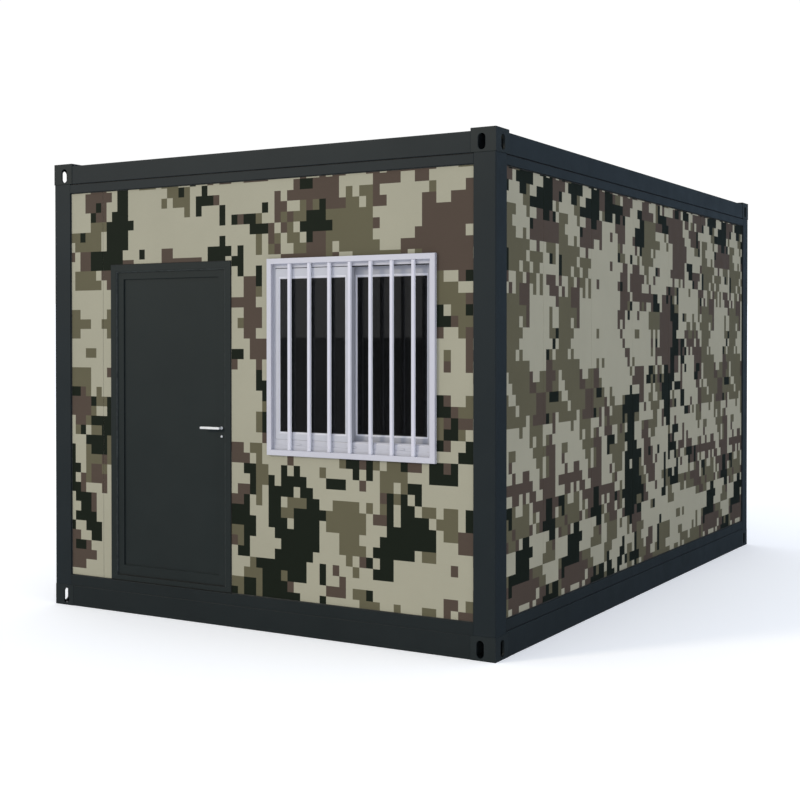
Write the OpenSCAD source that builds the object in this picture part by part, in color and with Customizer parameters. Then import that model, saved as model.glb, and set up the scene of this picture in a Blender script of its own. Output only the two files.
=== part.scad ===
// Container cabin: a steel frame with eight slotted corner castings, insulated
// wall panels, one entrance door, one sliding window behind a bar guard.
// Millimetres, +Z up. The origin is the centre of the footprint at ground level.
// The door end faces -Y and the long blind side faces +X.

/* [Overall size] */
// Overall width across the door end
body_w = 3240; // [3200:10:3300]
// Overall length along the blind sides
body_l = 4840; // [4700:10:6000]
// Overall height over the corner castings
body_h = 2896; // [2880:1:2960]

/* [Steel frame] */
// Width of a corner casting across the door end
cast_w = 156; // [150:1:165]
// Width of a corner casting along the long side
cast_l = 165; // [158:1:178]
// Height of a corner casting
cast_h = 134; // [132:1:136]
// Wall thickness of a corner casting
cast_t = 12; // [9:1:14]
// Width of a slot in a casting
slot_w = 46; // [40:1:50]
// Height of a slot in a casting
slot_h = 88; // [80:1:88]
// Width of a corner post, both ways
post_w = 138; // [130:1:142]
// How far posts and beams stand back from the casting faces
face_in = 2; // [2:1:8]
// Radius of a post's outer edge
post_r = 6; // [4:1:20]
// Depth of the roof beams below the top of the castings' shoulder
roof_beam_h = 118; // [110:1:120]
// Height of the rail between the roof beam and the wall
top_rail_h = 54; // [40:1:60]
// Height of the floor beams at the two ends
end_beam_h = 203; // [190:1:205]
// Height of the main floor beams along the sides
side_beam_h = 145; // [135:1:150]
// Top of the sill rail along the sides
side_sill_top = 212; // [206:1:214]

/* [Wall panels] */
// Thickness of the insulated wall panels
panel_t = 75; // [50:5:75]
// How far the panels stand back behind the posts
panel_in = 11; // [6:1:14]
// Width of one side panel between two joints
panel_w = 731; // [700:1:760]
// Width of the first side panel beside the front post
panel_first = 512; // [400:1:560]
// Depth of the chamfer along a panel joint
joint_v = 2; // [1:0.5:3]

/* [Door] */
// Left outer edge of the door casing, from the middle of the front
door_x0 = -1134; // [-1150:1:-1120]
// Right outer edge of the door casing, from the middle of the front
door_x1 = -173; // [-190:1:-150]
// Top of the door casing above the ground
door_top = 2223; // [2200:1:2260]
// Visible width of the casing round the leaf
casing_w = 42; // [38:1:50]
// Thickness of the door leaf
leaf_t = 45; // [40:1:50]
// Top of the threshold above the ground
threshold_top = 238; // [232:1:240]
// Width of the leaf's hinge stile beside the infill
stile_w = 55; // [40:1:60]
// Width of the leaf's lock stile beside the infill
lock_stile_w = 59; // [56:1:70]
// Height of the leaf's top rail above the infill
top_rail_w = 50; // [45:1:80]
// Height of the lever above the ground
lever_z = 1206; // [1150:1:1250]
// Length of the lever from its pivot to its end
lever_l = 143; // [120:1:145]

/* [Window] */
// Left edge of the window opening, from the middle of the front
win_x0 = 124; // [120:1:130]
// Right edge of the window opening
win_x1 = 1226; // [1220:1:1232]
// Bottom of the window opening above the ground
win_z0 = 1084; // [1080:1:1090]
// Top of the window opening above the ground
win_z1 = 2206; // [2200:1:2212]
// Spacing of the guard bars
bar_pitch = 140; // [130:1:141]
// Number of guard bars
bar_n = 7; // [5:1:7]
// Side of a square guard bar
bar_s = 19; // [16:1:20]
// Face width of the guard's outer tube
guard_s = 33; // [25:1:34]
// Depth of the guard's outer tube
guard_d = 22; // [20:1:30]

/* [Hidden] */

hw = body_w/2;
hl = body_l/2;
eps = 0.01;
gap = 0.3;                              // hairline between solids of one node
z_cast = body_h - cast_h;               // underside of the top castings
z_rail1 = z_cast - 6;                   // top of the wall rail
z_rail0 = z_rail1 - top_rail_h;         // underside of the wall rail
z_wall1 = z_rail0;                      // top of the wall panels
z_beam1 = z_cast + roof_beam_h;         // top of the roof beams
z_floor = 231;                          // finished floor
floor_t = 19;
roof_t = 26;                            // over the ribs of the roof sheet
d_wall = face_in + panel_in;            // outer face of the walls behind the casting plane
d_room = d_wall + panel_t;              // inner face of the walls
slot_r = slot_w/2;
slot_u = 88;                            // slot centre from the corner, both ways
bot_slot_u = 96;                        // the same on the end face of a lower casting
bot_slot_h = 98;                        // the lower castings' slots are taller
top_slot_z = body_h - 77;
bot_slot_z = 62;

// door depths, measured back from the casting plane
d_casing = 7;
d_leaf0 = d_wall + 6;
d_leaf1 = d_leaf0 + leaf_t;
d_jamb = d_room + 5;
hinge_x = door_x0 + 40;
hinge_y = -hl + d_leaf1 + 9;
leaf_x0 = door_x0 + 36;
leaf_x1 = door_x1 - 36;
leaf_z0 = threshold_top + 5;
leaf_z1 = door_top - 36;
recess = 9;
infill_x0 = leaf_x0 + 6 + stile_w;
infill_x1 = leaf_x1 - 6 - lock_stile_w;
infill_z0 = leaf_z0 + 60;
infill_z1 = leaf_z1 - 6 - top_rail_w;
lever_x = door_x1 - 74.5;
key_z = lever_z - 51;
spindle_r = 5;

// window depths
d_win0 = d_wall;
d_win1 = d_room + 11;
d_outer = d_win0 + 2;                   // outer sash
d_inner = d_outer + 43;                 // inner sash
sash_t = 39;
pane_in = 7;                            // glass behind the sash's outer face
pane_t = 20;                            // a sealed double-glazed unit
win_jamb = 27;
win_head = 36;
win_sill = 70;
meet_x0 = 657;
meet_x1 = 688;
stile_outer = 35;
stile_meet = 44;
rail_top = 64;
rail_bottom = 46;

// a box given by its two ends on each axis
module bx(x0, x1, y0, y1, z0, z1) {
    translate([x0, y0, z0]) cube([x1 - x0, y1 - y0, z1 - z0]);
}
// a box on the front wall: depths run back from the casting plane
module fbx(x0, x1, d0, d1, z0, z1) { bx(x0, x1, -hl + d0, -hl + d1, z0, z1); }
// places a child made at the front-left corner at corner (sx, sy)
module at_corner(sx, sy) {
    translate([sx*hw, sy*hl, 0])
        mirror([sx > 0 ? 1 : 0, 0, 0]) mirror([0, sy > 0 ? 1 : 0, 0]) children();
}

// ---------------------------------------------------------------- frame
module corner_post(sx, sy) {
    color([0.17, 0.19, 0.21]) at_corner(sx, sy)
        translate([0, 0, cast_h]) linear_extrude(z_cast - cast_h) difference() {
            translate([face_in, face_in]) square(post_w - face_in);
            translate([face_in - 1, face_in - 1]) difference() {
                square(post_r + 1);
                translate([post_r + 1, post_r + 1]) circle(post_r, $fn = 48);
            }
        }
}
module corner_post_front_left() { corner_post(-1, -1); }
module corner_post_front_right() { corner_post(1, -1); }
module corner_post_rear_left() { corner_post(-1, 1); }
module corner_post_rear_right() { corner_post(1, 1); }

// stadium-shaped slot cutter along Y (face = 0) or X (face = 1)
module slot(len, face, h = slot_h) {
    rotate(face == 0 ? [90, 0, 0] : [90, 0, 90])
        translate([0, 0, -len/2]) linear_extrude(len) union() {
            square([slot_w, h - slot_w], center = true);
            for (s = [-1, 1]) translate([0, s*(h/2 - slot_r)]) circle(slot_r, $fn = 48);
        }
}
module casting(top) {
    in = top ? 0 : face_in;             // the lower castings are flush with the beams
    z0 = top ? z_cast : 0;
    zs = top ? top_slot_z : bot_slot_z;
    difference() {
        translate([in, in, z0]) cube([cast_w - in, cast_l - in, cast_h]);
        translate([in + cast_t, in + cast_t, z0 + cast_t])
            cube([cast_w - in - 2*cast_t, cast_l - in - 2*cast_t, cast_h - 2*cast_t]);
        // slot in the end face, slot in the side face, slot in the top or bottom
        translate([top ? slot_u : bot_slot_u, in + cast_t/2, zs])
            slot(cast_t + 8, 0, top ? slot_h : bot_slot_h);
        translate([in + cast_t/2, slot_u, zs]) slot(cast_t + 8, 1, top ? slot_h : bot_slot_h);
        translate([slot_u - 4, slot_u - 2, top ? body_h - cast_t/2 : cast_t/2])
            rotate([90, 0, 0]) slot(cast_t + 8, 0, 100);
    }
}
module top_corner_castings() {
    color([0.17, 0.19, 0.21])
        for (sx = [-1, 1], sy = [-1, 1]) at_corner(sx, sy) casting(true);
}
module bottom_corner_castings() {
    color([0.15, 0.17, 0.18])
        for (sx = [-1, 1], sy = [-1, 1]) at_corner(sx, sy) casting(false);
}

module end_roof_beam(s) {
    color([0.17, 0.19, 0.21])
        mirror([0, s > 0 ? 1 : 0, 0])
            fbx(-hw + cast_w, hw - cast_w, face_in, post_w, z_cast, z_beam1);
}
module side_roof_beam(s) {
    color([0.17, 0.19, 0.21])
        bx(s > 0 ? hw - post_w : -hw + face_in, s > 0 ? hw - face_in : -hw + post_w,
            -hl + cast_l, hl - cast_l, z_cast, z_beam1);
}
module roof_beam_front() { end_roof_beam(-1); }
module roof_beam_rear() { end_roof_beam(1); }
module roof_beam_left() { side_roof_beam(-1); }
module roof_beam_right() { side_roof_beam(1); }

module wall_top_rails() {
    color([0.17, 0.19, 0.21]) {
        for (s = [-1, 1]) {
            mirror([0, s > 0 ? 1 : 0, 0])
                fbx(-hw + post_w, hw - post_w, face_in, post_w, z_rail0, z_rail1);
            mirror([s > 0 ? 1 : 0, 0, 0])
                bx(-hw + face_in, -hw + post_w, -hl + post_w, hl - post_w, z_rail0, z_rail1);
        }
    }
}
// recessed sealing strips: they show as the dark joint lines of the frame
module frame_seals() {
    color([0.05, 0.05, 0.05]) for (s = [-1, 1]) {
        mirror([0, s > 0 ? 1 : 0, 0])
            fbx(-hw + post_w, hw - post_w, 8, post_w - 8, z_rail1, z_cast);
        mirror([s > 0 ? 1 : 0, 0, 0])
            bx(-hw + 8, -hw + post_w - 8, -hl + post_w, hl - post_w, z_rail1, z_cast);
        mirror([s > 0 ? 1 : 0, 0, 0])
            bx(-hw + 7, -hw + post_w - 8, -hl + post_w, hl - post_w,
                side_beam_h, side_beam_h + 4);
    }
}

module end_floor_beam(s) {
    color([0.14, 0.16, 0.17])
        mirror([0, s > 0 ? 1 : 0, 0])
            fbx(-hw + cast_w, hw - cast_w, face_in, post_w, 1, cast_h);
}
// the top of the side beam runs over the castings as far as the posts
module side_floor_beam(s) {
    color([0.14, 0.16, 0.17])
        mirror([s > 0 ? 1 : 0, 0, 0]) difference() {
            bx(-hw + face_in, -hw + post_w, -hl + post_w, hl - post_w, 1, side_beam_h);
            for (t = [-1, 1]) mirror([0, t > 0 ? 1 : 0, 0])
                bx(-hw, -hw + post_w + 1, -hl + post_w - 1, -hl + cast_l, 0, cast_h);
        }
}
module floor_beam_front() { end_floor_beam(-1); }
module floor_beam_rear() { end_floor_beam(1); }
module floor_beam_left() { side_floor_beam(-1); }
module floor_beam_right() { side_floor_beam(1); }
module end_sill_rails() {
    color([0.14, 0.16, 0.17]) for (s = [-1, 1])
        mirror([0, s > 0 ? 1 : 0, 0])
            fbx(-hw + post_w, hw - post_w, face_in, post_w, cast_h, end_beam_h);
}
module side_sill_rails() {
    color([0.14, 0.16, 0.17]) for (s = [-1, 1])
        mirror([s > 0 ? 1 : 0, 0, 0])
            bx(-hw + face_in, -hw + post_w, -hl + post_w, hl - post_w,
                side_beam_h + 4, side_sill_top);
}

// ---------------------------------------------------------------- roof and floor
// the sheet is notched round the top castings
module roof_sheet() {
    color([0.30, 0.32, 0.34]) difference() {
        bx(-hw + post_w + gap, hw - post_w - gap, -hl + post_w + gap, hl - post_w - gap,
            z_beam1 - 40, z_beam1 - 40 + roof_t);
        for (sx = [-1, 1], sy = [-1, 1]) at_corner(sx, sy)
            translate([0, 0, z_beam1 - 41]) cube([cast_w + gap, cast_l + gap, roof_t + 2]);
    }
}
module roof_purlins() {
    color([0.45, 0.46, 0.48]) for (i = [-2 : 2])
        translate([0, i*860, 0])
            bx(-hw + post_w, hw - post_w, -25, 25, z_rail0 + 20, z_beam1 - 40);
}
module ceiling_panel() {
    color([0.88, 0.88, 0.87])
        bx(-hw + post_w + gap, hw - post_w - gap, -hl + post_w + gap, hl - post_w - gap,
            z_rail0, z_rail0 + 20);
}
module floor_joists() {
    color([0.35, 0.36, 0.37]) for (i = [-4 : 4])
        translate([0, i*540, 0])
            bx(-hw + post_w, hw - post_w, -20, 20, 93, z_floor - floor_t);
}
module floor_boards() {
    n = 4;
    len = (body_l - 2*d_room - 1)/n;
    color([0.48, 0.40, 0.32]) {
        for (i = [0 : n - 1])
            translate([0, -hl + d_room + 0.5 + i*len, 0])
                bx(-hw + post_w + gap, hw - post_w - gap, gap/2, len - gap/2,
                    z_floor - floor_t, z_floor);
        for (s = [-1, 1]) mirror([s > 0 ? 1 : 0, 0, 0])
            bx(-hw + d_room + gap, -hw + post_w - gap, -hl + post_w + gap, hl - post_w - gap,
                z_floor - floor_t, z_floor);
    }
}

// ---------------------------------------------------------------- walls
// one upright panel, u0 to u1 along the wall, outer face at v = 0 with
// chamfered outer edges, drawn flat and raised from z0 to z1
module panel(u0, u1, z0, z1, c0 = 0, c1 = 0) {
    translate([0, 0, z0]) linear_extrude(z1 - z0)
        polygon([[u0 + c0, 0], [u1 - c1, 0], [u1, c1], [u1, panel_t], [u0, panel_t], [u0, c0]]);
}
module on_front() { translate([0, -hl + d_wall, 0]) children(); }
seam_x = -1205;
open_x0 = door_x0 + 10;
open_x1 = door_x1 - 10;
module front_wall_left() {
    color([0.57, 0.55, 0.47]) on_front() {
        panel(-hw + post_w, seam_x - gap/2, end_beam_h, z_wall1, 0, joint_v);
        panel(seam_x + gap/2, open_x0, end_beam_h, z_wall1, joint_v, 0);
    }
}
module front_wall_over_door() {
    color([0.57, 0.55, 0.47]) on_front() panel(open_x0, open_x1, door_top - 10, z_wall1);
}
module front_wall_middle() {
    color([0.57, 0.55, 0.47]) on_front() panel(open_x1, win_x0, end_beam_h, z_wall1);
}
module front_wall_under_window() {
    color([0.57, 0.55, 0.47]) on_front() panel(win_x0, win_x1, end_beam_h, win_z0);
}
module front_wall_over_window() {
    color([0.57, 0.55, 0.47]) on_front() panel(win_x0, win_x1, win_z1, z_wall1);
}
module front_wall_right() {
    color([0.57, 0.55, 0.47]) on_front() panel(win_x1, hw - post_w, end_beam_h, z_wall1);
}
side_run = body_l - 2*post_w;
side_n = floor((side_run - panel_first)/panel_w);
side_joints = concat([0], [for (i = [0 : side_n]) panel_first + i*panel_w], [side_run]);
module side_panels() {
    for (i = [0 : len(side_joints) - 2])
        panel(side_joints[i] + (i > 0 ? gap/2 : 0),
            side_joints[i + 1] - (i < len(side_joints) - 2 ? gap/2 : 0),
            side_sill_top, z_wall1,
            i > 0 ? joint_v : 0, i < len(side_joints) - 2 ? joint_v : 0);
}
module right_wall_panels() {
    color([0.55, 0.54, 0.47])
        translate([hw - d_wall, -hl + post_w, 0]) rotate([0, 0, 90]) side_panels();
}
module left_wall_panels() {
    color([0.55, 0.54, 0.47])
        translate([-hw + d_wall, -hl + post_w, 0]) mirror([1, 0, 0]) rotate([0, 0, 90])
            side_panels();
}
module rear_wall_panels() {
    n = 4;
    w = (body_w - 2*post_w)/n;
    color([0.57, 0.55, 0.47])
        translate([-hw + post_w, hl - d_wall, 0]) mirror([0, 1, 0])
            for (i = [0 : n - 1])
                panel(i*w + (i > 0 ? gap/2 : 0), (i + 1)*w - (i < n - 1 ? gap/2 : 0),
                    end_beam_h, z_wall1, i > 0 ? joint_v : 0, i < n - 1 ? joint_v : 0);
}

// ---------------------------------------------------------------- door frame
module door_frame() {
    color([0.17, 0.19, 0.20]) {
        fbx(open_x0, open_x0 + 20, d_wall, d_jamb, threshold_top + gap, door_top - 10);
        fbx(open_x1 - 18, open_x1, d_wall, d_jamb, threshold_top + gap, door_top - 10);
        fbx(open_x0 + 20 + gap, open_x1 - 18 - gap, d_wall, d_jamb, door_top - 30, door_top - 10);
        fbx(open_x0, open_x1, d_wall, d_room, end_beam_h, threshold_top);
    }
}
// thin face casing that covers the joint to the wall and stops the leaf
module door_casing() {
    color([0.17, 0.19, 0.20]) {
        fbx(door_x0, door_x0 + casing_w, d_casing, d_wall, threshold_top + gap, door_top);
        fbx(door_x1 - casing_w, door_x1, d_casing, d_wall, threshold_top + gap, door_top);
        fbx(door_x0 + casing_w + gap, door_x1 - casing_w - gap, d_casing, d_wall,
            door_top - casing_w, door_top);
        fbx(door_x0, door_x1, d_casing, d_wall, end_beam_h, threshold_top);
    }
}
hinge_z = [470, 1240, 2010];
pin_r = 4;
knuckle_r = 8;
module door_hinge_pins() {
    color([0.35, 0.36, 0.38]) for (z = hinge_z) {
        translate([hinge_x, hinge_y, z - 46]) cylinder(r = knuckle_r, h = 45, $fn = 48);
        translate([hinge_x, hinge_y, z - 10]) cylinder(r = pin_r, h = 52, $fn = 48);
        bx(open_x0 + 20, open_x0 + 23.5, hinge_y - 6, -hl + d_jamb - 2, z - 46, z - 1);
    }
}

// ---------------------------------------------------------------- window
// four bars round a rectangle: left jamb jl, right jamb jr, head and sill
module ring(x0, x1, z0, z1, d0, d1, jl, jr, head, sill) {
    fbx(x0, x0 + jl, d0, d1, z0, z1);
    fbx(x1 - jr, x1, d0, d1, z0, z1);
    fbx(x0 + jl + gap, x1 - jr - gap, d0, d1, z1 - head, z1);
    fbx(x0 + jl + gap, x1 - jr - gap, d0, d1, z0, z0 + sill);
}
module window_frame() {
    color([0.82, 0.82, 0.86])
        ring(win_x0 + 0.2, win_x1 - 0.2, win_z0 + 0.2, win_z1 - 0.2, d_win0, d_win1,
            win_jamb, win_jamb, win_head, win_sill);
}
sash_z0 = win_z0 + win_sill + 1;
sash_z1 = win_z1 - win_head - 1;
sash_xl = win_x0 + win_jamb + 1;
sash_xr = win_x1 - win_jamb - 1;
module window_sash_left() {
    color([0.84, 0.84, 0.88])
        ring(sash_xl, meet_x1, sash_z0, sash_z1, d_outer, d_outer + sash_t,
            stile_outer, stile_meet, rail_top, rail_bottom);
}
module window_sash_right() {
    color([0.78, 0.78, 0.82])
        ring(meet_x0, sash_xr, sash_z0, sash_z1, d_inner, d_inner + sash_t,
            stile_meet, stile_outer + 3, rail_top, rail_bottom);
}
module window_panes() {
    color([0.08, 0.09, 0.10]) {
        fbx(sash_xl + stile_outer + gap, meet_x1 - stile_meet - gap,
            d_outer + pane_in, d_outer + pane_in + pane_t,
            sash_z0 + rail_bottom + gap, sash_z1 - rail_top - gap);
        fbx(meet_x0 + stile_meet + gap, sash_xr - stile_outer - 3 - gap,
            d_inner + pane_in, d_inner + pane_in + pane_t,
            sash_z0 + rail_bottom + gap, sash_z1 - rail_top - gap);
    }
}
guard_x0 = win_x0 - 17;
guard_x1 = win_x1 + 23;
guard_z0 = win_z0 - 24;
guard_z1 = win_z1 + 20;
d_guard = d_wall - guard_d;
bar_x0 = guard_x0 + guard_s/2 + 143.5;
module window_guard_frame() {
    color([0.85, 0.85, 0.90])
        ring(guard_x0, guard_x1, guard_z0, guard_z1, d_guard, d_wall,
            guard_s, guard_s, guard_s, guard_s);
}
module window_guard_bars() {
    color([0.85, 0.85, 0.90]) for (i = [0 : bar_n - 1])
        translate([bar_x0 + i*bar_pitch, 0, 0])
            fbx(-bar_s/2, bar_s/2, d_guard + (guard_d - bar_s)/2, d_guard + (guard_d + bar_s)/2,
                guard_z0 + guard_s, guard_z1 - guard_s);
}

// ---------------------------------------------------------------- door leaf
module door_leaf() {
    color([0.17, 0.19, 0.20]) difference() {
        fbx(leaf_x0, leaf_x1, d_leaf0, d_leaf1, leaf_z0, leaf_z1);
        fbx(infill_x0, infill_x1, d_leaf0 - 1, d_leaf0 + recess, infill_z0, infill_z1);
        fbx(infill_x0, infill_x1, d_leaf1 - recess, d_leaf1 + 1, infill_z0, infill_z1);
        translate([lever_x, -hl + d_leaf0 - 1, lever_z]) rotate([-90, 0, 0])
            cylinder(r = spindle_r + 2, h = leaf_t + 2, $fn = 48);
    }
}
module door_hinge_knuckles() {
    color([0.35, 0.36, 0.38]) for (z = hinge_z) difference() {
        union() {
            translate([hinge_x, hinge_y, z]) cylinder(r = knuckle_r, h = 45, $fn = 48);
            bx(hinge_x, hinge_x + 32, -hl + d_leaf1, -hl + d_leaf1 + 3.5, z, z + 45);
        }
        translate([hinge_x, hinge_y, z - 1]) cylinder(r = pin_r + 0.08, h = 47, $fn = 48);
    }
}
module rose(r, d0, d1) {
    translate([0, -hl + d0, 0]) rotate([-90, 0, 0]) cylinder(r = r, h = d1 - d0, $fn = 64);
}
module door_roses() {
    color([0.75, 0.76, 0.78]) {
        difference() {
            translate([lever_x, 0, lever_z]) union() {
                rose(9, d_leaf0 - 8, d_leaf0);
                rose(9, d_leaf1, d_leaf1 + 8);
            }
            translate([lever_x, -hl + d_leaf0 - 9, lever_z]) rotate([-90, 0, 0])
                cylinder(r = spindle_r + 0.06, h = leaf_t + 18, $fn = 48);
        }
        translate([lever_x, 0, key_z]) {
            rose(7.5, d_leaf0 - 6, d_leaf0);
            rose(7.5, d_leaf1, d_leaf1 + 6);
        }
    }
}
// both handles and the spindle that joins them turn as one
module door_lever() {
    color([0.80, 0.81, 0.83]) translate([lever_x, 0, lever_z]) {
        rose(spindle_r, d_leaf0 - 20, d_leaf1 + 20);
        rose(6.5, d_leaf0 - 32, d_leaf0 - 8.6);
        rose(6.5, d_leaf1 + 8.6, d_leaf1 + 32);
        for (d = [d_leaf0 - 38, d_leaf1 + 28])
            translate([0, -hl + d, 0]) rotate([-90, 0, 0]) linear_extrude(10) union() {
                translate([-lever_l + 7, -7]) square([lever_l - 7, 14]);
                circle(7, $fn = 48);
                translate([-lever_l + 7, 0]) circle(7, $fn = 48);
            }
    }
}

corner_post_front_left();
corner_post_front_right();
corner_post_rear_left();
corner_post_rear_right();
top_corner_castings();
bottom_corner_castings();
roof_beam_front();
roof_beam_rear();
roof_beam_left();
roof_beam_right();
wall_top_rails();
frame_seals();
floor_beam_front();
floor_beam_rear();
floor_beam_left();
floor_beam_right();
end_sill_rails();
side_sill_rails();
roof_sheet();
roof_purlins();
ceiling_panel();
floor_joists();
floor_boards();
front_wall_left();
front_wall_over_door();
front_wall_middle();
front_wall_under_window();
front_wall_over_window();
front_wall_right();
right_wall_panels();
left_wall_panels();
rear_wall_panels();
door_frame();
door_casing();
door_hinge_pins();
window_frame();
window_sash_left();
window_sash_right();
window_panes();
window_guard_frame();
window_guard_bars();
door_leaf();
door_hinge_knuckles();
door_roses();
door_lever();
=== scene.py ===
import math

import bmesh
import bpy
import numpy as np
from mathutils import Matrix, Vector


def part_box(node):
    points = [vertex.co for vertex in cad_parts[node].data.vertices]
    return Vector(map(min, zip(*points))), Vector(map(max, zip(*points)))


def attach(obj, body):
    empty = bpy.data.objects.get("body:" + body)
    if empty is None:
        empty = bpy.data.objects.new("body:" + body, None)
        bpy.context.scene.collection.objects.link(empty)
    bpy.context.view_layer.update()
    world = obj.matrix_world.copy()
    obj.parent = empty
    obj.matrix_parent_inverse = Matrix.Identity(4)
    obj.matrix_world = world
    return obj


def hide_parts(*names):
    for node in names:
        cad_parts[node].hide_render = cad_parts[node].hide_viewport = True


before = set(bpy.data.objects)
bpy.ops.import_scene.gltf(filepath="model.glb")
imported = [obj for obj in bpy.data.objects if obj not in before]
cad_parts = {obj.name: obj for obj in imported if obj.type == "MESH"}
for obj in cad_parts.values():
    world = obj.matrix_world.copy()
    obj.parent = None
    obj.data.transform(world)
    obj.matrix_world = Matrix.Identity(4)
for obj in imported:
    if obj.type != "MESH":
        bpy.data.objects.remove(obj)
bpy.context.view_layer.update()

scene = bpy.context.scene

# =====================================================================================
# Mesh helpers. Every piece is made in row-frame metres, its object at the origin.
# =====================================================================================
QUADS = ((0, 1, 3, 2), (4, 6, 7, 5), (0, 4, 5, 1), (2, 3, 7, 6), (0, 2, 6, 4), (1, 5, 7, 3))


def box(node):
    lo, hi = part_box(node)
    return tuple(lo), tuple(hi)


def piece(bm, name, mats, body="cabin", nodes=(), smooth=True, sharp=38.0):
    """Turns a bmesh into a finished piece that rides on its CAD body."""
    bmesh.ops.recalc_face_normals(bm, faces=bm.faces)
    me = bpy.data.meshes.new(name)
    bm.to_mesh(me)
    bm.free()
    for m in mats:
        me.materials.append(m)
    ob = bpy.data.objects.new(name, me)
    scene.collection.objects.link(ob)
    if smooth:
        me.shade_smooth()
        me.set_sharp_from_angle(angle=math.radians(sharp))
        mod = ob.modifiers.new("even_normals", "WEIGHTED_NORMAL")
        mod.keep_sharp = True
        mod.weight = 70
    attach(ob, body)
    if nodes:
        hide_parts(*nodes)
    return ob


def add_box(bm, lo, hi, r=0.0015, seg=2, mat=0):
    """A box with rounded edges."""
    vs = [bm.verts.new((x, y, z)) for x in (lo[0], hi[0]) for y in (lo[1], hi[1]) for z in (lo[2], hi[2])]
    fs = [bm.faces.new([vs[i] for i in q]) for q in QUADS]
    for f in fs:
        f.material_index = mat
    if r > 0:
        bmesh.ops.bevel(bm, geom=list({e for f in fs for e in f.edges}), offset=r, offset_type="OFFSET",
                        segments=seg, profile=0.5, affect="EDGES", clamp_overlap=True, material=-1)
    return fs


def cad_bmesh(node):
    """A clean copy of a CAD node's mesh, coplanar triangles joined."""
    bm = bmesh.new()
    bm.from_mesh(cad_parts[node].data)
    bmesh.ops.remove_doubles(bm, verts=bm.verts, dist=1e-5)
    bmesh.ops.dissolve_limit(bm, angle_limit=math.radians(1.0), verts=bm.verts, edges=bm.edges)
    for f in bm.faces:
        f.material_index = 0
    return bm


def round_edges(bm, r, seg=2, angle=32.0, keep=None):
    """Rounds the convex edges of a bmesh that are sharper than angle."""
    bmesh.ops.recalc_face_normals(bm, faces=bm.faces)
    edges = [e for e in bm.edges if len(e.link_faces) == 2 and e.is_convex
             and e.calc_face_angle() > math.radians(angle) and (keep is None or keep(e))]
    if edges:
        bmesh.ops.bevel(bm, geom=edges, offset=r, offset_type="OFFSET", segments=seg, profile=0.5,
                        affect="EDGES", clamp_overlap=True, material=-1)
    return bm


def tube(bm, path, r, seg=8, mat=0, closed=False):
    """A bar of round section along a path of points."""
    pts = [Vector(p) for p in path]
    n = len(pts)
    rings = []
    for i, p in enumerate(pts):
        a = pts[(i - 1) % n] if (closed or i > 0) else p
        b = pts[(i + 1) % n] if (closed or i < n - 1) else p
        t = (b - a).normalized()
        side = t.cross(Vector((0, 0, 1)))
        if side.length < 0.2:
            side = t.cross(Vector((1, 0, 0)))
        side.normalize()
        up = side.cross(t)
        rings.append([bm.verts.new(p + side * (math.cos(k) * r) + up * (math.sin(k) * r))
                      for k in (2 * math.pi * j / seg for j in range(seg))])
    for i in range(n if closed else n - 1):
        A, B = rings[i], rings[(i + 1) % n]
        for j in range(seg):
            f = bm.faces.new((A[j], A[(j + 1) % seg], B[(j + 1) % seg], B[j]))
            f.material_index = mat
    if not closed:
        for ring in (rings[0], rings[-1]):
            bm.faces.new(ring).material_index = mat


def disc_stack(bm, centre, axis, rings, seg=24, mat=0, turn=0.0):
    """A turned solid: rings is a list of (distance along axis, radius), closed at both ends."""
    c, ax = Vector(centre), Vector(axis).normalized()
    s = ax.orthogonal().normalized()
    t = ax.cross(s)
    loops = []
    for d, r in rings:
        loops.append([bm.verts.new(c + ax * d + (s * math.cos(k + turn) + t * math.sin(k + turn)) * r)
                      for k in (2 * math.pi * j / seg for j in range(seg))])
    for A, B in zip(loops, loops[1:]):
        for j in range(seg):
            bm.faces.new((A[j], A[(j + 1) % seg], B[(j + 1) % seg], B[j])).material_index = mat
    bm.faces.new(loops[0]).material_index = mat
    bm.faces.new(loops[-1]).material_index = mat


def sweep_frame(bm, x0, x1, z0, z1, widths, profile, mat=0, open_bottom=False, mats=None):
    """A mitred frame round a rectangle on the front wall. profile is a closed loop of (t, y): t runs from 0
    at the outer edge to 1 at the inner edge of each side, whose widths are (left, right, top, bottom)."""
    jl, jr, head, sill = widths
    loops = []
    corners = ("bl", "tl", "tr", "br")
    for c in corners:
        loop = []
        for t, y in profile:
            x = x0 + t * jl if c[1] == "l" else x1 - t * jr
            if c[0] == "t":
                z = z1 - t * head
            else:
                z = z0 if open_bottom else z0 + t * sill
            loop.append(bm.verts.new((x, y, z)))
        loops.append(loop)
    n = len(profile)
    pairs = [(0, 1), (1, 2), (2, 3)] + ([] if open_bottom else [(3, 0)])
    for a, b in pairs:
        for j in range(n):
            f = bm.faces.new((loops[a][j], loops[a][(j + 1) % n], loops[b][(j + 1) % n], loops[b][j]))
            f.material_index = mats[j] if mats else mat
    if open_bottom:
        for k in (0, 3):
            bm.faces.new(loops[k]).material_index = mat


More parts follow.
